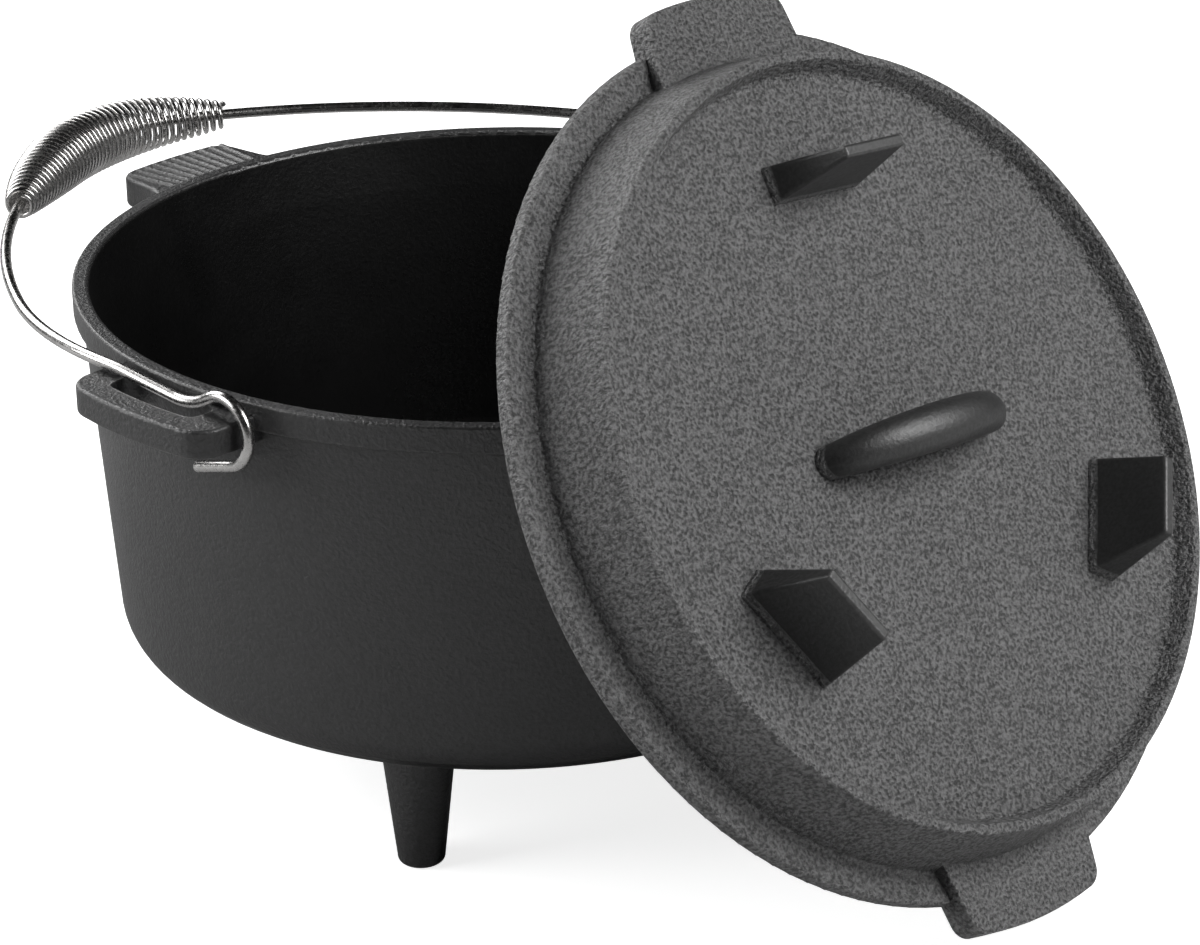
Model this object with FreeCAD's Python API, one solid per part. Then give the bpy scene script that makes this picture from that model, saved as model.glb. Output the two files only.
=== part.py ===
import FreeCAD, Part
import math
import os
from FreeCAD import Vector

# Deep cast iron camp oven: pot on three feet, wire bail with a coiled spring grip, flanged lid.
# Millimetres. Origin on the floor under the pot's axis, +Z up.
# The bail ears sit on the X axis, the ribbed lug on +Y, and the lid leans on the rim at -Y.

# ---- pot ----
RIM_R = 150.0            # outer radius of the rim band
RIM_IN_R = 144.2         # inner radius at the rim
RIM_Z = 174.0            # rim top above the floor
BASE_Z = 40.0            # underside of the pot above the floor
BAND_H = 9.4             # height of the rim band
WALL_TOP_R = 147.2       # outside of the wall just under the band
WALL_LOW_R = 139.5       # outside of the wall where the base corner starts
CORNER_R = 16.0          # outside corner between wall and base
WALL_T = 5.2             # wall thickness
BASE_T = 6.0             # base thickness
EDGE_R = 0.9             # small rounding on the rim edges

FOOT_AXIS_R = 120.0      # foot axis from the pot's axis
FOOT_TOP_R = 12.8
FOOT_BOTTOM_R = 8.0
FOOT_ANGLES = (90.0, 210.0, 330.0)

# ---- bail ears ----
EAR_TOP_Z = RIM_Z - 4.0
EAR_T = 10.0
EAR_OUT_R = 171.5
EAR_Y0, EAR_Y1 = -33.0, 35.0
EAR_CORNER_R = 11.0
SLOT_IN_R = 150.8
SLOT_OUT_R = 162.5
SLOT_Y0, SLOT_Y1 = -20.0, 23.0
SLOT_CORNER_R = 4.5

# ---- ribbed lug ----
LUG_OUT_R = 179.5
LUG_TOP_Z = RIM_Z - 2.4
LUG_T = 11.6
LUG_HALF = 25.0          # half length of the outer edge
LUG_ROOT_HALF = 40.0     # half length where it grows out of the rim
RIB_COUNT = 11
RIB_R = 1.5
RIB_PITCH = 1.5          # degrees

# ---- bail ----
WIRE_R = 2.0
BAIL_X = 153.5           # plane of each hook
PIVOT_Y = (EAR_Y0 + SLOT_Y0) / 2
PIVOT_Z = EAR_TOP_Z - EAR_T / 2
HOOK_R = 11.7            # centre-line radius of the hook round the ear's end web
HOOK_TAIL = 18.0         # straight tail under the ear
HOOK_FROM, HOOK_TO = 253.0, 60.0
NECK = 3.5               # straight between the hook and the dip
DIP_R = 25.0             # bend that brings the wire down into the slot
SHANK_RISE = 4.5         # degrees the shank climbs away from the dip
SHANK_RUN = 26.0
SHANK_BEND_R = 80.0      # slight bend that levels the shank with the bow
BAIL_TILT = 0.5          # degrees above level when folded
BOW_START = 62.0         # along the bail, where the bow begins
BOW_REACH = 176.0        # from there to the top of the bow
SHOULDER_TURN = 27.6     # degrees of the tighter bends at each end of the bow
SHOULDER_R = 130.0

# ---- spring grip ----
COIL_WIRE_R = 0.95
COIL_MID_R = 11.6        # centre-line radius in the middle of the barrel
COIL_END_R = 4.2
COIL_TURNS = 44
COIL_FROM, COIL_TO = -77.0, 44.0
COIL_STEPS = 10          # points per turn

# ---- lid (own frame: disc in XY, top face up) ----
FLANGE_R = 150.8
FLANGE_T = 6.1
LIP_R = 142.6            # rim that drops inside the pot
LIP_IN_R = 137.4
LIP_H = 4.0
WALL_BASE_R = 139.0
RIDGE_OUT_R = 132.8
RIDGE_IN_R = 129.8
RIDGE_Z = 32.7
PANEL_R = 126.8
PANEL_Z = 24.4
UNDER_Z = 18.0           # underside of the panel
LID_TAB_R = 162.0
LID_TAB_T = 10.5
LID_TAB_HALF = 36.5
LID_TAB_OUT_HALF = 31.0
LEG_R = 92.0
LEG_BASE_W, LEG_BASE_T = 42.0, 13.0
LEG_TIP_W, LEG_TIP_T = 28.0, 4.0
LEG_TIP_Z = 56.0
LEG_ANGLES = (90.0, 210.0, 330.0)
BOW_HALF = 39.0          # lid handle: half span of the centre line
BOW_RISE = 20.0          # crown centre line above the panel

# ---- lid at rest: it stands on one tab and leans on the rim ----
LEAN_AZ = -88.1          # direction its top face looks, in plan
LEAN_EL = 32.6           # and how far it looks up
LID_ROLL = -6.3          # turned about its own axis
LID_CENTRE = Vector(12.4, -151.9, 137.84)

NODES = {}


def polar(radius, angle, z=0.0):
    a = math.radians(angle)
    return Vector(radius * math.cos(a), radius * math.sin(a), z)


def line(a, b):
    return Part.LineSegment(a, b).toShape()


def arc(a, b, c):
    return Part.Arc(a, b, c).toShape()


def revolved(edges):
    face = Part.Face(Part.Wire(edges))
    return face.revolve(Vector(0, 0, 0), Vector(0, 0, 1), 360)


def profile(points):
    """Closed half profile from (r, z) corners; a third value rounds that corner."""
    edges = []
    ends = []
    n = len(points)
    for i in range(n):
        here = Vector(points[i][0], 0, points[i][1])
        radius = points[i][2] if len(points[i]) > 2 else 0.0
        if radius == 0.0:
            ends.append((here, here, None))
            continue
        before = Vector(points[i - 1][0], 0, points[i - 1][1])
        after = Vector(points[(i + 1) % n][0], 0, points[(i + 1) % n][1])
        to_before = (before - here).normalize()
        to_after = (after - here).normalize()
        half = to_before.getAngle(to_after) / 2
        reach = radius / math.tan(half)
        bisector = (to_before + to_after).normalize()
        centre = here + bisector * (radius / math.sin(half))
        start = here + to_before * reach
        end = here + to_after * reach
        ends.append((start, end, centre - bisector * radius))
    for i in range(n):
        start, end, middle = ends[i]
        if middle is not None:
            edges.append(arc(start, middle, end))
        following = ends[(i + 1) % n][0]
        if (following - end).Length > 1e-6:
            edges.append(line(end, following))
    return edges


def plate(points, z, thickness):
    """Flat plate from (x, y[, corner radius]) corners."""
    edges = profile(points)
    face = Part.Face(Part.Wire(edges))
    face.rotate(Vector(0, 0, 0), Vector(1, 0, 0), -90)
    face.translate(Vector(0, 0, z))
    return face.extrude(Vector(0, 0, thickness))


def make_bowl():
    floor_in = BASE_Z + BASE_T
    low_in = WALL_LOW_R - WALL_T
    points = [
        (0, BASE_Z),
        (WALL_LOW_R - 0.8, BASE_Z, CORNER_R),
        (WALL_TOP_R, RIM_Z - BAND_H, 1.0),
        (RIM_R, RIM_Z - BAND_H, EDGE_R),
        (RIM_R, RIM_Z, EDGE_R),
        (RIM_IN_R, RIM_Z, 1.4),
        (WALL_TOP_R - WALL_T, RIM_Z - 2.2 * BAND_H, 4.0),
        (low_in - 0.8, floor_in, CORNER_R - 3.0),
        (0, floor_in),
    ]
    return revolved(profile(points))


def annulus(inner, outer, z, height):
    ring = Part.makeCylinder(outer, height, Vector(0, 0, z))
    return ring.cut(Part.makeCylinder(inner, height, Vector(0, 0, z)))


def vertical_edges(solid, accept):
    found = []
    for edge in solid.Edges:
        a, b = edge.Vertexes[0].Point, edge.Vertexes[-1].Point
        upright = abs(a.x - b.x) < 1e-4 and abs(a.y - b.y) < 1e-4 and abs(a.z - b.z) > 1
        if upright and accept(a):
            found.append(edge)
    return found


def make_ear():
    """The ear on -X; the one on +X is its mirror image."""
    low = EAR_TOP_Z - EAR_T
    ring = annulus(RIM_R - 4.0, EAR_OUT_R, low, EAR_T)
    length = EAR_Y1 - EAR_Y0
    ear = ring.common(Part.makeBox(60, length, EAR_T, Vector(-185, EAR_Y0, low)))
    outer = vertical_edges(ear, lambda p: math.hypot(p.x, p.y) > EAR_OUT_R - 1)
    ear = ear.makeFillet(EAR_CORNER_R, outer)
    slot = annulus(SLOT_IN_R, SLOT_OUT_R, low - 5, EAR_T + 10)
    width = SLOT_Y1 - SLOT_Y0
    slot = slot.common(Part.makeBox(60, width, EAR_T + 10, Vector(-185, SLOT_Y0, low - 5)))
    slot = slot.makeFillet(SLOT_CORNER_R, vertical_edges(slot, lambda p: True))
    rounded = [e for e in ear.Edges if e.BoundBox.ZLength < 0.01 and far_out(e, RIM_R + 3)]
    ear = ear.makeFillet(1.2, rounded)
    return ear.cut(slot)


def far_out(edge, radius):
    points = edge.discretize(5)
    return all(math.hypot(p.x, p.y) > radius for p in points[1:-1])


def make_lug():
    """Ribbed lug on +Y: straight sides flaring into the rim."""
    low = LUG_TOP_Z - LUG_T
    root = RIM_R - 4.0
    corners = [
        (-LUG_ROOT_HALF, root * 0.955),
        (-LUG_HALF - 3.0, RIM_R + 3.0, 14.0),
        (-LUG_HALF, LUG_OUT_R + 4.0),
        (LUG_HALF, LUG_OUT_R + 4.0),
        (LUG_HALF + 3.0, RIM_R + 3.0, 14.0),
        (LUG_ROOT_HALF, root * 0.955),
    ]
    blank = plate(corners, low, LUG_T)
    lug = blank.common(annulus(root, LUG_OUT_R, low, LUG_T))
    outer = vertical_edges(lug, lambda p: math.hypot(p.x, p.y) > LUG_OUT_R - 1)
    lug = lug.makeFillet(9.0, outer)
    rounded = [e for e in lug.Edges if e.BoundBox.ZLength < 0.01 and far_out(e, RIM_R + 12)]
    lug = lug.makeFillet(1.6, rounded)
    ribs = []
    for i in range(RIB_COUNT):
        angle = 90.0 + (i - (RIB_COUNT - 1) / 2) * RIB_PITCH
        start = polar(RIM_R + 1.5, angle, LUG_TOP_Z - 0.55)
        ribs.append(Part.makeCylinder(RIB_R, LUG_OUT_R - RIM_R - 5.0, start, polar(1, angle)))
    return lug.multiFuse(ribs)


def make_foot(angle):
    foot = Part.makeCone(FOOT_BOTTOM_R, FOOT_TOP_R, BASE_Z + 4.0, polar(FOOT_AXIS_R, angle))
    bottom = [e for e in foot.Edges if e.BoundBox.ZMax < 0.01]
    return foot.makeFillet(2.0, bottom)


def make_pot():
    ear = make_ear()
    other = ear.mirror(Vector(0, 0, 0), Vector(1, 0, 0))
    pieces = [ear, other, make_lug()]
    pieces += [make_foot(angle) for angle in FOOT_ANGLES]
    pot = make_bowl().multiFuse(pieces)
    return pot.removeSplitter()


def bail_to_world(across, along, off):
    a = math.radians(BAIL_TILT)
    y = PIVOT_Y + along * math.cos(a) - off * math.sin(a)
    z = PIVOT_Z + along * math.sin(a) + off * math.cos(a)
    return Vector(across, y, z)


def bail_axes():
    zero = bail_to_world(0, 0, 0)
    forward = bail_to_world(0, 1, 0) - zero
    off = bail_to_world(0, 0, 1) - zero
    return forward, off


class WireRun:
    """Round wire laid end to end from straight runs and bends."""

    def __init__(self, start, heading):
        self.at = start
        self.heading = heading
        self.solids = []
        self.points = [start]

    def disc(self):
        circle = Part.Circle(self.at, self.heading, WIRE_R).toShape()
        return Part.Face(Part.Wire(circle))

    def run(self, length):
        step = self.heading * length
        self.solids.append(self.disc().extrude(step))
        self.at = self.at + step
        self.points.append(self.at)

    def bend(self, radius, degrees, axis):
        """Turn by the right-hand rule about the axis."""
        side = 1 if degrees > 0 else -1
        centre = self.at + axis.cross(self.heading) * (radius * side)
        self.solids.append(self.disc().revolve(centre, axis * side, abs(degrees)))
        turn = FreeCAD.Rotation(axis, degrees)
        arm = turn.multVec(self.at - centre)
        for k in range(1, 9):
            part_turn = FreeCAD.Rotation(axis, degrees * k / 8)
            self.points.append(centre + part_turn.multVec(self.at - centre))
        self.at = centre + arm
        self.heading = turn.multVec(self.heading)


def bow_radii():
    """Radii of the long side arc and of the crown, so that the bow closes on the middle."""
    a = math.radians(SHOULDER_TURN)
    b = math.radians(90.0 - SHOULDER_TURN)
    middle = math.cos(a) - math.cos(b)
    across = BAIL_X - SHOULDER_R * (1 - math.cos(a))
    along = BOW_REACH - SHOULDER_R * math.sin(a)
    crown = (across - along) / (math.cos(b) - (1 - math.sin(b)))
    side = (along - crown * (1 - math.sin(b))) / middle
    return side, crown


def bail_half():
    """The -X half of the bail, from the hook round the web up to the top of the bow."""
    forward, off = bail_axes()
    x = Vector(1, 0, 0)
    a = math.radians(HOOK_TO)
    start = bail_to_world(-BAIL_X, HOOK_R * math.cos(a), HOOK_R * math.sin(a))
    heading = (forward * math.sin(a) - off * math.cos(a)).normalize()
    hook = WireRun(start, heading * -1)
    hook.bend(HOOK_R, HOOK_FROM - HOOK_TO, x)
    hook.run(HOOK_TAIL)
    shank = WireRun(start, heading)
    shank.run(NECK)
    shank.bend(DIP_R, 90.0 - HOOK_TO + SHANK_RISE, x)
    shank.run(SHANK_RUN)
    shank.bend(SHANK_BEND_R, -SHANK_RISE, x)
    reached = (shank.at - bail_to_world(-BAIL_X, 0, 0)).dot(forward)
    shank.run(BOW_START - reached)
    first = len(shank.points) - 1
    side, crown = bow_radii()
    shank.bend(SHOULDER_R, -SHOULDER_TURN, off)
    shank.bend(side, -(90.0 - 2 * SHOULDER_TURN), off)
    shank.bend(crown, -SHOULDER_TURN, off)
    return hook.solids + shank.solids, shank.points[first:]


def make_bail_wire():
    left, bow = bail_half()
    right = [solid.mirror(Vector(0, 0, 0), Vector(1, 0, 0)) for solid in left]
    pieces = left + right
    return pieces[0].multiFuse(pieces[1:]).removeSplitter()


def sweep(points, radius):
    """Round wire along a smooth curve through the points."""
    curve = Part.BSplineCurve()
    curve.interpolate(points)
    spine = Part.Wire([curve.toShape()])
    tangent = curve.tangent(curve.FirstParameter)[0]
    section = Part.Wire([Part.Circle(points[0], tangent, radius).toShape()])
    maker = Part.BRepOffsetAPI.MakePipeShell(spine)
    maker.setFrenetMode(True)
    maker.add(section)
    maker.build()
    maker.makeSolid()
    return maker.shape()


def bow_parameter(curve, across):
    """Parameter where the bow passes a given distance across, found by halving."""
    low, high = curve.FirstParameter, curve.LastParameter
    for _ in range(40):
        middle = (low + high) / 2
        if curve.value(middle).x < across:
            low = middle
        else:
            high = middle
    return low


def make_grip():
    """Barrel-shaped coil round the bow, wound along its centre line."""
    half = bail_half()[1]
    bow = Part.BSplineCurve()
    bow.interpolate(half + [Vector(-p.x, p.y, p.z) for p in reversed(half[:-1])])
    normal = bail_axes()[1]
    first = bow.length(bow.FirstParameter, bow_parameter(bow, COIL_FROM))
    last = bow.length(bow.FirstParameter, bow_parameter(bow, COIL_TO))
    count = COIL_TURNS * COIL_STEPS
    path = []
    for k in range(count + 1):
        place = k / count
        where = bow.parameterAtDistance(first + (last - first) * place, bow.FirstParameter)
        centre = bow.value(where)
        side = bow.tangent(where)[0].cross(normal).normalize()
        swell = math.sin(math.pi * place) ** 0.8
        radius = COIL_END_R + (COIL_MID_R - COIL_END_R) * swell
        turn = 2 * math.pi * k / COIL_STEPS
        path.append(centre + normal * (radius * math.cos(turn)) + side * (radius * math.sin(turn)))
    return sweep(path, COIL_WIRE_R)


def make_lid_disc():
    points = [
        (0, UNDER_Z),
        (PANEL_R - 6.0, UNDER_Z, 6.0),
        (LIP_IN_R - 4.4, 1.5),
        (LIP_IN_R, -LIP_H, 0.8),
        (LIP_R, -LIP_H, 0.8),
        (LIP_R + 0.4, 0, 0.0),
        (FLANGE_R, 0, 1.2),
        (FLANGE_R - 0.6, FLANGE_T, 1.2),
        (WALL_BASE_R + 0.6, FLANGE_T - 1.2, 1.4),
        (RIDGE_OUT_R, RIDGE_Z, 1.3),
        (RIDGE_IN_R, RIDGE_Z, 1.3),
        (PANEL_R, PANEL_Z, 3.0),
        (0, PANEL_Z),
    ]
    return revolved(profile(points))


def make_lid_tab():
    """Tab on +Y of the lid's own frame."""
    root = RIDGE_OUT_R - 1.0
    corners = [
        (-LID_TAB_HALF - 1.5, root - 10.0),
        (-LID_TAB_OUT_HALF, LID_TAB_R + 6.0),
        (LID_TAB_OUT_HALF, LID_TAB_R + 6.0),
        (LID_TAB_HALF + 1.5, root - 10.0),
    ]
    tab = plate(corners, 0, LID_TAB_T)
    tab = tab.common(annulus(root, LID_TAB_R, 0, LID_TAB_T))
    outer = vertical_edges(tab, lambda p: math.hypot(p.x, p.y) > LID_TAB_R - 1)
    tab = tab.makeFillet(7.0, outer)
    rounded = [e for e in tab.Edges if e.BoundBox.ZLength < 0.01 and far_out(e, WALL_BASE_R)]
    return tab.makeFillet(1.2, rounded)


def rectangle(width, depth, centre_y, z):
    a, b = width / 2, depth / 2
    corners = [(-a, -b), (a, -b), (a, b), (-a, b), (-a, -b)]
    return Part.makePolygon([Vector(x, centre_y + y, z) for x, y in corners])


def make_lid_leg():
    low = rectangle(LEG_BASE_W + 0.8, LEG_BASE_T + 0.6, LEG_R, PANEL_Z - 2.0)
    tip = rectangle(LEG_TIP_W, LEG_TIP_T, LEG_R, LEG_TIP_Z)
    leg = Part.makeLoft([low, tip], True, True)
    sides = [e for e in leg.Edges if e.BoundBox.ZMax > LEG_TIP_Z - 1]
    return leg.makeFillet(1.2, sides)


def make_lid_bow():
    sections = []
    stops = 12
    for k in range(stops + 1):
        phi = math.pi * k / stops
        x = -BOW_HALF * math.cos(phi)
        z = PANEL_Z - 2.0 + (BOW_RISE + 2.0) * math.sin(phi)
        tangent = Vector(BOW_HALF * math.sin(phi), 0, (BOW_RISE + 2.0) * math.cos(phi))
        swell = math.sin(phi)
        wide = 5.2 + 2.6 * swell
        thick = 5.0 + 1.0 * swell
        place = Vector(x, 0, z)
        normal = tangent.normalize()
        ellipse = Part.Ellipse(Vector(0, 0, 0), wide, thick).toShape()
        # the ellipse is drawn in XY; its long axis must lie along Y
        frame = FreeCAD.Placement(place, FreeCAD.Rotation(Vector(0, 1, 0), Vector(), normal, "ZXY"))
        ellipse.Placement = frame
        sections.append(Part.Wire([ellipse]))
    return Part.makeLoft(sections, True)


def make_lid():
    tab = make_lid_tab()
    opposite = tab.copy()
    opposite.rotate(Vector(0, 0, 0), Vector(0, 0, 1), 180)
    pieces = [tab, opposite, make_lid_bow()]
    for angle in LEG_ANGLES:
        leg = make_lid_leg()
        leg.rotate(Vector(0, 0, 0), Vector(0, 0, 1), angle - 90.0)
        pieces.append(leg)
    lid = make_lid_disc().multiFuse(pieces)
    return lid.removeSplitter()


def lean(shape):
    """Stand the lid up and lean it on the rim."""
    az, el = math.radians(LEAN_AZ), math.radians(LEAN_EL)
    look = Vector(math.cos(el) * math.cos(az), math.cos(el) * math.sin(az), math.sin(el))
    across = Vector(-math.sin(az), math.cos(az), 0)
    up = look.cross(across)
    turn = FreeCAD.Rotation(across, up, look, "ZXY")
    shape.rotate(Vector(0, 0, 0), Vector(0, 0, 1), LID_ROLL)
    shape.Placement = FreeCAD.Placement(LID_CENTRE, turn).multiply(shape.Placement)
    return shape


def main():
    os.makedirs("parts", exist_ok=True)
    NODES["pot_casting"] = make_pot()
    NODES["bail_wire"] = make_bail_wire()
    NODES["spring_grip"] = make_grip()
    NODES["lid_casting"] = lean(make_lid())
    for name, shape in NODES.items():
        solid = shape.Solids[0] if len(shape.Solids) == 1 else shape
        print(name, solid.isValid(), len(shape.Solids), round(solid.Volume / 1000, 2), solid.BoundBox)
        solid.exportStep("parts/" + name + ".step")


main()
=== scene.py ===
"""Camp dutch oven: a cast iron pot on three feet, its leaning lid and a wire bail.

The bail carries a grip of coiled spring steel, wound here.
"""

import math

import bpy
from bpy.props import FloatProperty, FloatVectorProperty, IntProperty, PointerProperty
from mathutils import Matrix, Vector


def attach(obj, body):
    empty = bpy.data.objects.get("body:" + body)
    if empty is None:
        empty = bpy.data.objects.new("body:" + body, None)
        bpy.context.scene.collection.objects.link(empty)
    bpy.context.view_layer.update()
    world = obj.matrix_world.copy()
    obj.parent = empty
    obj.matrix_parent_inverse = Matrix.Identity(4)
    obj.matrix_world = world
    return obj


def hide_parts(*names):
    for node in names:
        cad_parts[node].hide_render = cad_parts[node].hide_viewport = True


bl_info = {
    "name": "Camp dutch oven",
    "version": (1, 0, 0),
    "blender": (4, 5, 0),
    "location": "3D View > Sidebar > Dutch Oven",
    "description": "Finishes the castings, winds the spring grip and lights a camp dutch oven",
    "category": "Object",
}

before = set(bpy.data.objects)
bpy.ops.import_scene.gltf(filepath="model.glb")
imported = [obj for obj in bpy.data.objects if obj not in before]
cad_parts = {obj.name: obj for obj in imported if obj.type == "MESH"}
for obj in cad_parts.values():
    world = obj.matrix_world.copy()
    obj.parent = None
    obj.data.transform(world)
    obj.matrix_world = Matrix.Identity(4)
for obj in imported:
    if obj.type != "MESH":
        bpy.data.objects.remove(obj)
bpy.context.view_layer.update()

# Where the lid leans: its centre, and the directions of its own axes.
LID_CENTRE = Vector((0.0124, -0.1519, 0.13784))
LID_LOOK_AZ = math.radians(-88.1)
LID_LOOK_EL = math.radians(32.6)
LID_ROLL = math.radians(-6.3)

# On the lid's plate, these heights and radii bound the smooth legs and handle.
LID_PLATE = 0.0256
LID_LEGS = 0.0285
LID_LEGS_RADIUS = 0.1200
LID_RIDGE_RADIUS = 0.1225

# Middle of the pot's wall: its radius at the ground and how much it widens with height.
WALL_FOOT = 0.1334
WALL_SLOPE = 0.0653
WALL_FADE = 0.0006         # depth past the middle of the wall that is wholly inside
POT_FLOOR_MIDDLE = 0.0435  # heights between which the pot's floor turns to its inside
POT_FLOOR_TOP = 0.0450

# The folded bail lies near a plane through its hinge, tilted a little above level.
HINGE = Vector((0.0, -0.0265, 0.165))
BAIL_HALF = 0.1535         # half the distance between the two shanks
BAIL_TILT = math.radians(0.5)
BOW_OFF = 0.0074           # how far the bow lies off the plane through the hinge
BOW_START = 0.062          # length of the straight shanks before the bow
BOW_REACH = 0.176          # how far the bow reaches past the shanks
SHOULDER_TURN = math.radians(27.6)
SHOULDER_R = 0.130
BOW_POINTS = 160

# The winding of the coil.
STEPS_PER_TURN = 22
WIRE_SIDES = 10
BARREL_POWER = 0.8         # below 1, the barrel is fuller than a sine wave
FEWEST_FACES = 1000        # a wound coil has many more

# Sizes in the iron's skin, in metres.
WAVE_SIZE = 0.035
WAVE_DEPTH = 0.0004
PATCH_SIZE = 0.06
CORNER_REACH = 0.008
EDGE_RADIUS = 0.0013
EDGE_SHARPNESS = (0.01, 0.22)
LUMP_RATIO = 5.0           # soft lumps are this many times the grain's size

# Sizes in the steel's skin, in metres.
DULL_SIZE = 0.012
SCRATCH_DEPTH = 0.00004

# Sockets of a Mix node that mixes colours.
MIX_AMOUNT, MIX_FIRST, MIX_SECOND, MIX_RESULT = 0, 6, 7, 2

# The studio: a round floor with a wall, and square lights round a point they all face.
STAGE_RADIUS = 12.0
STAGE_WALL = 8.0
STAGE_SIDES = 64
BOUNCE_DROP = 0.001        # how far the bounce floor lies under the seen one
BOUNCE_SHADE = 0.6
AIM = Vector((0.0, -0.06, 0.12))
LIGHT_WIDTH = 1.0
LIGHT_DISTANCE = 1.7
TO_CAMERA = Vector((-0.727, -0.687, 0.0))
CAMERA_RIGHT = Vector((0.684, -0.729, 0.0))
UP = Vector((0, 0, 1))

# The camera: where it stands, where it looks and which way its frame is level.
CAMERA_PLACE = Vector((-0.8606, -0.8606, 0.6276))
CAMERA_FORWARD = Vector((0.6652, 0.6287, -0.4027))
CAMERA_LEVEL = Vector((0.6843, -0.7291, -0.0080))
LENS = 110.4
SENSOR_WIDTH = 36.0
VIEW_END = 50.0


# ---------------------------------------------------------------- sizes and colours


class OvenFinish(bpy.types.PropertyGroup):
    """Colours and grain of the two castings and the two wires."""

    iron: FloatVectorProperty(
        name="Pot iron", description="Colour of the seasoned iron of the pot",
        subtype="COLOR", size=3, min=0, max=1, default=(0.022, 0.022, 0.0225))
    # The lid's iron is set far lighter than the pot's same iron: partly painted light, for the
    # light its grained plate catches.
    lid_iron: FloatVectorProperty(
        name="Lid iron", description="Colour of the seasoned iron of the lid",
        subtype="COLOR", size=3, min=0, max=1, default=(0.140, 0.140, 0.1405))
    # Bright edge colour: partly real wear, partly a painted highlight where edges catch the
    # light.
    worn_and_highlit_iron: FloatVectorProperty(
        name="Worn iron", description="Colour of the iron where edges are rubbed",
        subtype="COLOR", size=3, min=0, max=1, default=(0.340, 0.336, 0.330))
    steel: FloatVectorProperty(
        name="Steel", description="Colour of the bright drawn wire",
        subtype="COLOR", size=3, min=0, max=1, default=(0.62, 0.61, 0.60))
    pot_grain: FloatProperty(
        name="Pot grain", description="Size of the sand grain on the pot",
        unit="LENGTH", min=0.0002, max=0.01, default=0.0015)
    pot_grain_depth: FloatProperty(
        name="Pot grain depth", description="Depth of the sand grain on the pot",
        unit="LENGTH", min=0, max=0.001, default=0.00050)
    lid_grain: FloatProperty(
        name="Lid grain", description="Size of the sand grain on the lid",
        unit="LENGTH", min=0.0002, max=0.01, default=0.0013)
    lid_grain_depth: FloatProperty(
        name="Lid grain depth", description="Depth of the sand grain on the lid",
        unit="LENGTH", min=0, max=0.004, default=0.00220)


class GripSize(bpy.types.PropertyGroup):
    """Sizes of the coil spring grip."""

    turns: IntProperty(
        name="Turns", description="Turns of the coil", min=4, max=80, default=44)
    wire_radius: FloatProperty(
        name="Wire radius", description="Half the thickness of the coil's wire",
        unit="LENGTH", min=0.0003, max=0.003, default=0.00095)
    middle_radius: FloatProperty(
        name="Middle radius", description="Radius of the winding in the middle of the barrel",
        unit="LENGTH", min=0.004, max=0.03, default=0.0116)
    end_radius: FloatProperty(
        name="End radius", description="Radius of the winding at the two ends",
        unit="LENGTH", min=0.003, max=0.02, default=0.0042)
    first: FloatProperty(
        name="First end", description="Where the coil starts, across the bow",
        unit="LENGTH", min=-0.13, max=0.0, default=-0.077)
    last: FloatProperty(
        name="Last end", description="Where the coil stops, across the bow",
        unit="LENGTH", min=0.0, max=0.13, default=0.044)


class StudioSetting(bpy.types.PropertyGroup):
    """Floor and lights."""

    floor: FloatVectorProperty(
        name="Floor", description="Colour of the floor",
        subtype="COLOR", size=3, min=0, max=1, default=(0.86, 0.86, 0.86))
    glow: FloatProperty(
        name="Floor glow", description="Light the floor gives off, so that it stays pale",
        min=0, max=3, default=0.95)
    key: FloatProperty(
        name="Key light", description="Power of the large light behind on the left",
        subtype="POWER", min=0, max=500, default=17.5)
    lid: FloatProperty(
        name="Lid light", description="Power of the large light that faces the lid",
        subtype="POWER", min=0, max=500, default=24)
    side: FloatProperty(
        name="Side light", description="Power of the low light on the left",
        subtype="POWER", min=0, max=500, default=17)
    fill: FloatProperty(
        name="Fill light", description="Power of the light on the right",
        subtype="POWER", min=0, max=500, default=3)


# ---------------------------------------------------------------- places


def bow_line(first, last):
    """Points along the middle of the bow between two distances across it.

    The bow is a wide crown arc between two side arcs, and a shoulder arc at each end.
    """
    sine, cosine = math.sin(SHOULDER_TURN), math.cos(SHOULDER_TURN)
    across = BAIL_HALF - SHOULDER_R * (1 - cosine)
    along = BOW_REACH - SHOULDER_R * sine
    crown = (across - along) / (sine + cosine - 1)
    side = (along - crown * (1 - cosine)) / (cosine - sine)
    half_crown = crown * sine
    level, lift = math.cos(BAIL_TILT), math.sin(BAIL_TILT)
    points = []
    for k in range(BOW_POINTS):
        x = first + (last - first) * k / (BOW_POINTS - 1)
        if abs(x) < half_crown:
            y = BOW_REACH - crown + math.sqrt(crown * crown - x * x)
        else:
            out = abs(x) - half_crown + side * sine
            y = (BOW_REACH - crown * (1 - cosine) - side * cosine
                 + math.sqrt(side * side - out * out))
        y += BOW_START
        points.append(HINGE + Vector((x, y * level - BOW_OFF * lift,
                                      y * lift + BOW_OFF * level)))
    return points


def lid_turn():
    """Rotation from the lid's own frame to where it leans."""
    look = Vector((math.cos(LID_LOOK_EL) * math.cos(LID_LOOK_AZ),
                   math.cos(LID_LOOK_EL) * math.sin(LID_LOOK_AZ), math.sin(LID_LOOK_EL)))
    across = Vector((-math.sin(LID_LOOK_AZ), math.cos(LID_LOOK_AZ), 0))
    up = look.cross(across)
    turn = Matrix((across, up, look)).transposed()
    return turn @ Matrix.Rotation(LID_ROLL, 3, "Z")


# ---------------------------------------------------------------- materials


def add_node(tree, kind, inputs=(), **settings):
    """Add a node with these properties, and link or set its inputs."""
    node = tree.nodes.new(kind)
    for key, value in settings.items():
        setattr(node, key, value)
    for key, value in dict(inputs).items():
        if isinstance(value, bpy.types.NodeSocket):
            tree.links.new(value, node.inputs[key])
        else:
            node.inputs[key].default_value = value
    return node


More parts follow.
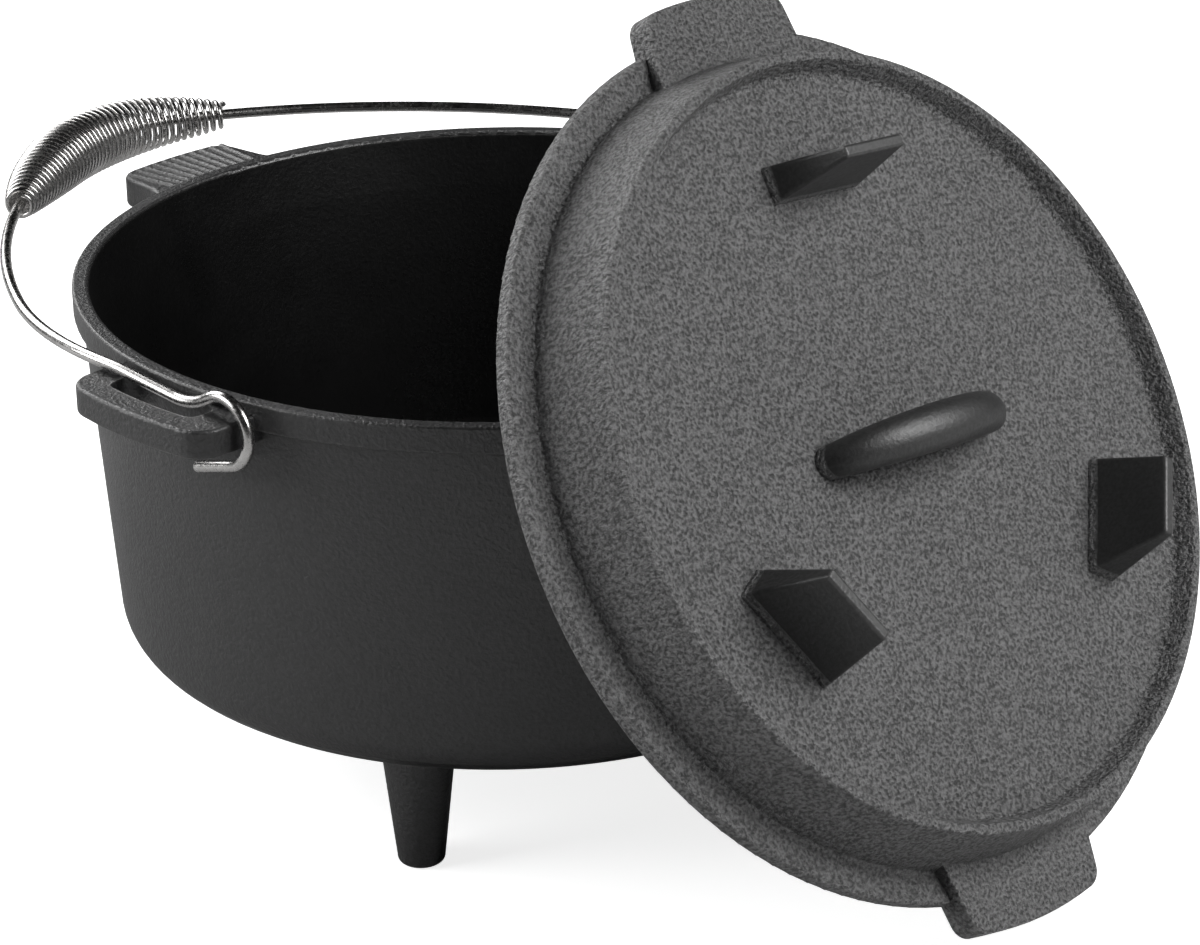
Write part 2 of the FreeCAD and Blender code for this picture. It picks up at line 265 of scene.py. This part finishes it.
class Shading:
    """A material's nodes, added one after another."""

    def __init__(self, name):
        self.material = bpy.data.materials.new(name)
        self.material.use_nodes = True
        self.tree = self.material.node_tree
        self.tree.nodes.clear()

    def add(self, kind, inputs=(), **settings):
        return add_node(self.tree, kind, inputs, **settings)

    def place(self, centre=None, turn=None):
        """Object coordinates, seen from the piece's own centre and turn where it has them."""
        where = self.add("ShaderNodeTexCoord").outputs["Object"]
        if centre is None:
            return where
        back = turn.transposed()
        return self.add("ShaderNodeMapping", {
            "Vector": where, "Location": -(back @ centre),
            "Rotation": back.to_euler()}).outputs[0]

    def noise(self, where, size, detail=2.0, rough=0.5, warp=0.0):
        return self.add("ShaderNodeTexNoise", {
            "Vector": where, "Scale": 1.0 / size, "Detail": detail,
            "Roughness": rough, "Distortion": warp}).outputs["Fac"]

    def math(self, operation, a, b=0.0, c=0.0):
        return self.add("ShaderNodeMath", {0: a, 1: b, 2: c}, operation=operation).outputs[0]

    def span(self, value, low, high, to_low=0.0, to_high=1.0):
        """Value between low and high, spread over another range and held inside it."""
        return self.add("ShaderNodeMapRange", {
            "Value": value, "From Min": low, "From Max": high,
            "To Min": to_low, "To Max": to_high}, clamp=True).outputs[0]

    def mix(self, amount, first, second):
        """The first colour at amount 0, the second at amount 1."""
        return self.add("ShaderNodeMix", {
            MIX_AMOUNT: amount, MIX_FIRST: first, MIX_SECOND: second},
            data_type="RGBA").outputs[MIX_RESULT]

    def distance(self, where):
        """Distance from the upright axis of the piece."""
        flat = self.add("ShaderNodeVectorMath", {0: where, 1: (1, 1, 0)},
                        operation="MULTIPLY").outputs[0]
        return self.add("ShaderNodeVectorMath", {0: flat},
                        operation="LENGTH").outputs["Value"]

    def edges(self, radius):
        """How near a surface is to one of its edges, from 0 to 1."""
        soft = self.add("ShaderNodeBevel", {"Radius": radius}, samples=4).outputs[0]
        flat = self.add("ShaderNodeNewGeometry").outputs["Normal"]
        dot = self.add("ShaderNodeVectorMath", {0: soft, 1: flat},
                       operation="DOT_PRODUCT").outputs["Value"]
        return self.span(self.math("SUBTRACT", 1.0, dot), *EDGE_SHARPNESS)

    def openness(self, reach):
        """How open a surface is to its surroundings, from 0 in a deep corner to 1."""
        return self.add("ShaderNodeAmbientOcclusion", {"Distance": reach},
                        samples=6, only_local=True).outputs["AO"]

    def finish(self, **sockets):
        shader = self.add("ShaderNodeBsdfPrincipled", {
            key.replace("_", " "): value for key, value in sockets.items()})
        self.add("ShaderNodeOutputMaterial", {"Surface": shader.outputs[0]})
        return self.material


def rgba(colour, factor=1.0):
    """A colour, made lighter or darker by a factor, with full opacity."""
    return tuple(min(1.0, c * factor) for c in colour) + (1.0,)


def iron_bump(shade, where, fine, depth, coarse, shadow, grain):
    """The grain, the soft lumps and the long waves of a sand casting."""
    soft = shade.noise(where, grain * LUMP_RATIO, 2.0, 0.5)
    waves = shade.noise(where, WAVE_SIZE, 2.0, 0.5)
    if coarse is not None:
        fine, soft = (shade.math("MULTIPLY", part, coarse) for part in (fine, soft))
    if shadow is not None:
        calm = shade.math("MULTIPLY_ADD", shadow, -0.7, 1.0)
        fine, soft = (shade.math("MULTIPLY", part, calm) for part in (fine, soft))
    normal = shade.add("ShaderNodeBump", {
        "Strength": 1.0, "Distance": depth, "Height": fine}).outputs[0]
    for height, distance in ((soft, depth * 0.5), (waves, WAVE_DEPTH)):
        normal = shade.add("ShaderNodeBump", {
            "Strength": 1.0, "Distance": distance, "Height": height,
            "Normal": normal}).outputs[0]
    return normal


def iron_skin(shade, where, colour, worn_and_highlight, grain, depth, contrast, coarse=None, shadow=None):
    """Seasoned sand-cast iron: grain, soft lumps, oily patches, edges brightened as wear
    and painted highlight, and painted shade in corners.

    Coarse is 1 where the grain is full and 0 where the casting is smooth and dark;
    shadow is 1 inside the pot, where the colour is darkened as painted shade
    and the surface is smoother and calmer.
    """
    fine = shade.noise(where, grain, 3.0, 0.55)
    patches = shade.noise(where, PATCH_SIZE, 4.0, 0.6, 0.4)
    # How open each point is: it darkens corners as painted shade and keeps the edge brightening
    # out of hollows.
    open_air = shade.openness(CORNER_REACH)
    edge = shade.math("MULTIPLY", shade.edges(EDGE_RADIUS), shade.span(open_air, 0.70, 0.92))
    rubbed_and_highlit = shade.math("MULTIPLY", edge, shade.span(fine, 0.35, 0.6, 0.45, 1.0))

    body = shade.mix(shade.span(patches, 0.3, 0.7), rgba(colour, 0.82), rgba(colour, 1.15))
    grains = shade.mix(shade.span(fine, 0.38, 0.62),
                       rgba(colour, 1.0 - contrast), rgba(colour, 1.0 + contrast))
    tint = shade.mix(0.8, body, grains)
    if coarse is not None:
        tint = shade.mix(coarse, rgba(colour, 0.14), tint)
    # Painted shade: the colour darkens in corners and hollows, where less light reaches.
    tint = shade.mix(shade.span(open_air, 0.35, 0.85), rgba(colour, 0.30), tint)
    # Painted shade: the inside of the pot is darkened towards black.
    if shadow is not None:
        tint = shade.mix(shadow, tint, rgba(colour, 0.22))
    # Edges turn bright: partly real wear, partly a painted highlight of edges catching the
    # light.
    tint = shade.mix(rubbed_and_highlit, tint, rgba(worn_and_highlight))

    roughness = shade.math("ADD", shade.span(patches, 0.3, 0.7, 0.40, 0.50),
                           shade.span(fine, 0.3, 0.7, 0.03, -0.03))
    if shadow is not None:
        roughness = shade.math("MULTIPLY_ADD", shadow, -0.14, roughness)
    roughness = shade.math("MULTIPLY_ADD", rubbed_and_highlit, -0.12, roughness)

    normal = iron_bump(shade, where, fine, depth, coarse, shadow, grain)
    return shade.finish(Base_Color=tint, Roughness=roughness, Normal=normal,
                        Metallic=0.0, IOR=1.6, Specular_IOR_Level=0.6)


def pot_iron(finish):
    """Pot casting: fine grain outside; inside, a smoother, calmer surface in painted shade."""
    shade = Shading("seasoned_pot_iron")
    where = shade.place()
    out = shade.distance(where)
    height = shade.add("ShaderNodeSeparateXYZ", {"Vector": where}).outputs["Z"]
    wall = shade.math("MULTIPLY_ADD", height, WALL_SLOPE, WALL_FOOT)
    inward = shade.math("SUBTRACT", wall, out)
    inside = shade.math("MULTIPLY", shade.span(inward, 0.0, WALL_FADE),
                        shade.span(height, POT_FLOOR_MIDDLE, POT_FLOOR_TOP))
    return iron_skin(shade, where, finish.iron, finish.worn_and_highlit_iron, finish.pot_grain,
                     finish.pot_grain_depth, contrast=0.30, shadow=inside)


def lid_iron(finish):
    """Lid casting: full grain on the plate, ridge and flange, smooth handle and legs."""
    shade = Shading("seasoned_lid_iron")
    where = shade.place(LID_CENTRE, lid_turn())
    height = shade.add("ShaderNodeSeparateXYZ", {"Vector": where}).outputs["Z"]
    out = shade.distance(where)
    raised = shade.math("MULTIPLY", shade.span(height, LID_PLATE, LID_LEGS),
                        shade.span(out, LID_RIDGE_RADIUS, LID_LEGS_RADIUS))
    # The smooth handle and legs drop back to about the pot's dark iron, without the lid's
    # painted light.
    coarse = shade.math("SUBTRACT", 1.0, shade.math("MULTIPLY", raised, 0.92))
    return iron_skin(shade, where, finish.lid_iron, finish.worn_and_highlit_iron, finish.lid_grain,
                     finish.lid_grain_depth, contrast=0.80, coarse=coarse)


def bright_steel(name, finish, scratch_size, grime):
    """Bright drawn wire with fine scratches and a little dulling."""
    shade = Shading(name)
    where = shade.place()
    scratch = shade.noise(where, scratch_size, 3.0, 0.6)
    patches = shade.noise(where, DULL_SIZE, 3.0, 0.6)
    dull = shade.span(patches, 0.35, 0.7)
    tint = shade.mix(shade.math("MULTIPLY", dull, grime), rgba(finish.steel),
                     rgba(finish.steel, 0.45))
    roughness = shade.math("ADD", shade.span(scratch, 0.3, 0.7, 0.14, 0.26),
                           shade.span(patches, 0.3, 0.7, 0.0, 0.10))
    bump = shade.add("ShaderNodeBump", {
        "Strength": 0.5, "Distance": SCRATCH_DEPTH, "Height": scratch}).outputs[0]
    return shade.finish(Base_Color=tint, Roughness=roughness, Metallic=1.0, Normal=bump)


def give(node, material):
    """Put a material in every slot of a node of the frame."""
    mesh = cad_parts[node].data
    if not mesh.materials:
        mesh.materials.append(material)
    for index in range(len(mesh.materials)):
        mesh.materials[index] = material


# ---------------------------------------------------------------- the coil


def winding_tree(material):
    """Geometry nodes that wind a barrel-shaped coil along a curve."""
    tree = bpy.data.node_groups.new("Barrel winding", "GeometryNodeTree")
    face = tree.interface
    face.new_socket("Line", in_out="INPUT", socket_type="NodeSocketGeometry")
    for name, kind in (("Turns", "NodeSocketInt"), ("Steps per turn", "NodeSocketInt"),
                       ("Wire radius", "NodeSocketFloat"),
                       ("Middle radius", "NodeSocketFloat"),
                       ("End radius", "NodeSocketFloat"), ("Off the bow", "NodeSocketVector")):
        face.new_socket(name, in_out="INPUT", socket_type=kind)
    face.new_socket("Coil", in_out="OUTPUT", socket_type="NodeSocketGeometry")

    def add(kind, inputs=(), **settings):
        return add_node(tree, kind, inputs, **settings)

    def calc(operation, a, b=0.0, c=0.0):
        return add("ShaderNodeMath", {0: a, 1: b, 2: c}, operation=operation).outputs[0]

    def scaled(vector, amount):
        return add("ShaderNodeVectorMath", {0: vector, "Scale": amount},
                   operation="SCALE").outputs[0]

    given = add("NodeGroupInput").outputs
    points = calc("MULTIPLY_ADD", given["Turns"], given["Steps per turn"], 1.0)
    line = add("GeometryNodeResampleCurve", {"Curve": given["Line"], "Count": points})
    along = add("GeometryNodeSplineParameter").outputs["Factor"]
    tangent = add("GeometryNodeInputTangent").outputs[0]
    wave = calc("SINE", calc("MULTIPLY", along, math.pi))
    swell = calc("POWER", calc("MAXIMUM", wave, 0.0), BARREL_POWER)
    radius = calc("MULTIPLY_ADD", calc("SUBTRACT", given["Middle radius"], given["End radius"]),
                  swell, given["End radius"])
    angle = calc("MULTIPLY", calc("MULTIPLY", along, given["Turns"]), 2 * math.pi)
    side = add("ShaderNodeVectorMath", {0: tangent, 1: given["Off the bow"]},
               operation="CROSS_PRODUCT").outputs[0]
    out = scaled(given["Off the bow"], calc("MULTIPLY", radius, calc("COSINE", angle)))
    over = scaled(side, calc("MULTIPLY", radius, calc("SINE", angle)))
    offset = add("ShaderNodeVectorMath", {0: out, 1: over}, operation="ADD").outputs[0]
    moved = add("GeometryNodeSetPosition", {"Geometry": line.outputs[0], "Offset": offset})
    ring = add("GeometryNodeCurvePrimitiveCircle", {
        "Resolution": WIRE_SIDES, "Radius": given["Wire radius"]})
    tube = add("GeometryNodeCurveToMesh", {
        "Curve": moved.outputs[0], "Profile Curve": ring.outputs[0], "Fill Caps": True})
    smooth = add("GeometryNodeSetShadeSmooth", {"Geometry": tube.outputs[0]})
    real = add("GeometryNodeRealizeInstances", {"Geometry": smooth.outputs[0]})
    last = add("GeometryNodeSetMaterial", {"Geometry": real.outputs[0], "Material": material})
    add("NodeGroupOutput", {"Coil": last.outputs[0]})
    return tree


def set_inputs(modifier, tree, **values):
    """Set a modifier's inputs by their socket identifiers."""
    for item in tree.interface.items_tree:
        if item.item_type == "SOCKET" and item.in_out == "INPUT" and item.name in values:
            modifier[item.identifier] = values[item.name]


def wind_coil(size, material):
    """One plain mesh of the coil, wound along the bow."""
    line = bpy.data.curves.new("bow_line", "CURVE")
    line.dimensions = "3D"
    points = bow_line(size.first, size.last)
    spline = line.splines.new("POLY")
    spline.points.add(len(points) - 1)
    for point, place in zip(spline.points, points):
        point.co = (*place, 1.0)
    holder = bpy.data.objects.new("bow_line", line)
    bpy.context.scene.collection.objects.link(holder)
    tree = winding_tree(material)
    modifier = holder.modifiers.new("Winding", "NODES")
    modifier.node_group = tree
    set_inputs(modifier, tree, **{
        "Turns": size.turns, "Steps per turn": STEPS_PER_TURN,
        "Wire radius": size.wire_radius,
        "Middle radius": size.middle_radius, "End radius": size.end_radius,
        "Off the bow": (0.0, -math.sin(BAIL_TILT), math.cos(BAIL_TILT))})
    ready = holder.evaluated_get(bpy.context.evaluated_depsgraph_get())
    mesh = bpy.data.meshes.new_from_object(ready)
    mesh.name = "spring_coil"
    holder.modifiers.clear()
    bpy.data.objects.remove(holder)
    coil = bpy.data.objects.new("spring_coil", mesh)
    bpy.context.scene.collection.objects.link(coil)
    return coil


# ---------------------------------------------------------------- operators


class OVEN_OT_pot(bpy.types.Operator):
    """Give the pot casting its seasoned iron."""

    bl_idname = "oven.pot"
    bl_label = "Finish the pot"

    def execute(self, context):
        give("pot_casting", pot_iron(context.scene.oven_finish))
        return {"FINISHED"}


class OVEN_OT_lid(bpy.types.Operator):
    """Give the lid casting its grained iron."""

    bl_idname = "oven.lid"
    bl_label = "Finish the lid"

    def execute(self, context):
        give("lid_casting", lid_iron(context.scene.oven_finish))
        return {"FINISHED"}


class OVEN_OT_bail(bpy.types.Operator):
    """Give the bail its bright drawn steel."""

    bl_idname = "oven.bail"
    bl_label = "Finish the bail"

    def execute(self, context):
        give("bail_wire", bright_steel("drawn_bail_steel", context.scene.oven_finish,
                                       scratch_size=0.0012, grime=0.5))
        return {"FINISHED"}


class OVEN_OT_grip(bpy.types.Operator):
    """Wind the spring grip on the bow of the bail."""

    bl_idname = "oven.grip"
    bl_label = "Wind the grip"

    def execute(self, context):
        material = bright_steel("coil_spring_steel", context.scene.oven_finish,
                                scratch_size=0.0008, grime=0.6)
        coil = wind_coil(context.scene.oven_grip, material)
        if len(coil.data.polygons) < FEWEST_FACES:
            raise RuntimeError("the coil was not wound")
        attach(coil, "bail")
        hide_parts("spring_grip")
        return {"FINISHED"}


def area_light(name, power, turn, rise):
    """A square light that faces the aim. Turn is to the camera's left; both are in degrees."""
    turn, rise = math.radians(turn), math.radians(rise)
    toward = (TO_CAMERA * math.cos(turn) - CAMERA_RIGHT * math.sin(turn)) * math.cos(rise)
    light = bpy.data.lights.new(name, "AREA")
    light.shape = "SQUARE"
    light.size = LIGHT_WIDTH
    light.energy = power
    lamp = bpy.data.objects.new(name, light)
    lamp.location = AIM + (toward + UP * math.sin(rise)) * LIGHT_DISTANCE
    lamp.rotation_euler = (AIM - lamp.location).to_track_quat("-Z", "Y").to_euler()
    bpy.context.scene.collection.objects.link(lamp)


def stage_disc(name, height, wall, material):
    """A round floor, with a wall at its edge where the wall has a height."""
    angles = [2 * math.pi * k / STAGE_SIDES for k in range(STAGE_SIDES)]
    ring = [(STAGE_RADIUS * math.cos(angle), STAGE_RADIUS * math.sin(angle))
            for angle in angles]
    corners = [(x, y, height) for x, y in ring]
    faces = [tuple(range(STAGE_SIDES))]
    if wall:
        corners += [(x, y, height + wall) for x, y in ring]
        for k in range(STAGE_SIDES):
            after = (k + 1) % STAGE_SIDES
            faces.append((after, k, k + STAGE_SIDES, after + STAGE_SIDES))
    mesh = bpy.data.meshes.new(name)
    mesh.from_pydata(corners, [], faces)
    mesh.materials.append(material)
    disc = bpy.data.objects.new(name, mesh)
    bpy.context.scene.collection.objects.link(disc)
    return disc


def lay_floor(studio):
    """The pale floor that is seen, and under it one that throws light back."""
    floor = stage_disc("floor", 0.0, STAGE_WALL, Shading("pale_floor").finish(
        Base_Color=rgba(studio.floor), Roughness=0.9, Specular_IOR_Level=0.1,
        Emission_Color=rgba(studio.floor), Emission_Strength=studio.glow))
    floor.visible_diffuse = floor.visible_glossy = floor.visible_shadow = False
    bounce = stage_disc("floor_bounce", -BOUNCE_DROP, 0.0, Shading("bounced_floor").finish(
        Base_Color=rgba(studio.floor, BOUNCE_SHADE), Roughness=0.9, Specular_IOR_Level=0.1))
    bounce.visible_camera = False


def place_camera(scene):
    """The camera, level across its frame."""
    camera = bpy.data.cameras.new("camera")
    camera.lens = LENS
    camera.sensor_width = SENSOR_WIDTH
    camera.sensor_fit = "HORIZONTAL"
    camera.clip_end = VIEW_END
    eye = bpy.data.objects.new("camera", camera)
    forward = CAMERA_FORWARD.normalized()
    level = (CAMERA_LEVEL - forward * CAMERA_LEVEL.dot(forward)).normalized()
    axes = Matrix((level, level.cross(forward), -forward)).transposed()
    eye.matrix_world = Matrix.Translation(CAMERA_PLACE) @ axes.to_4x4()
    scene.collection.objects.link(eye)
    scene.camera = eye


class OVEN_OT_studio(bpy.types.Operator):
    """Lay the floor, place the lights and the camera."""

    bl_idname = "oven.studio"
    bl_label = "Set the studio"

    def execute(self, context):
        studio = context.scene.oven_studio
        lay_floor(studio)
        world = bpy.data.worlds.new("studio")
        world.use_nodes = True
        world.node_tree.nodes["Background"].inputs["Strength"].default_value = 0.0
        context.scene.world = world
        area_light("key_light", studio.key, turn=135, rise=30)
        area_light("lid_light", studio.lid, turn=-65, rise=40)
        area_light("side_light", studio.side, turn=80, rise=24)
        area_light("fill_light", studio.fill, turn=-90, rise=30)
        place_camera(context.scene)
        context.scene.view_settings.view_transform = "Standard"
        return {"FINISHED"}


class OVEN_PT_panel(bpy.types.Panel):
    """Sizes, colours and steps of the dutch oven."""

    bl_label = "Dutch Oven"
    bl_idname = "OVEN_PT_panel"
    bl_space_type = "VIEW_3D"
    bl_region_type = "UI"
    bl_category = "Dutch Oven"

    def draw(self, context):
        layout = self.layout
        for group in (context.scene.oven_finish, context.scene.oven_grip,
                      context.scene.oven_studio):
            box = layout.box()
            for name in group.__annotations__:
                box.prop(group, name)
        for step in STEPS:
            layout.operator(step.bl_idname)


STEPS = (OVEN_OT_pot, OVEN_OT_lid, OVEN_OT_bail, OVEN_OT_grip, OVEN_OT_studio)
CLASSES = (OvenFinish, GripSize, StudioSetting, *STEPS, OVEN_PT_panel)


def register():
    for cls in CLASSES:
        bpy.utils.register_class(cls)
    bpy.types.Scene.oven_finish = PointerProperty(type=OvenFinish)
    bpy.types.Scene.oven_grip = PointerProperty(type=GripSize)
    bpy.types.Scene.oven_studio = PointerProperty(type=StudioSetting)


def unregister():
    del bpy.types.Scene.oven_studio
    del bpy.types.Scene.oven_grip
    del bpy.types.Scene.oven_finish
    for cls in reversed(CLASSES):
        bpy.utils.unregister_class(cls)


def main():
    register()
    bpy.ops.oven.pot()
    bpy.ops.oven.lid()
    bpy.ops.oven.bail()
    bpy.ops.oven.grip()
    bpy.ops.oven.studio()


if __name__ == "__main__":
    main()
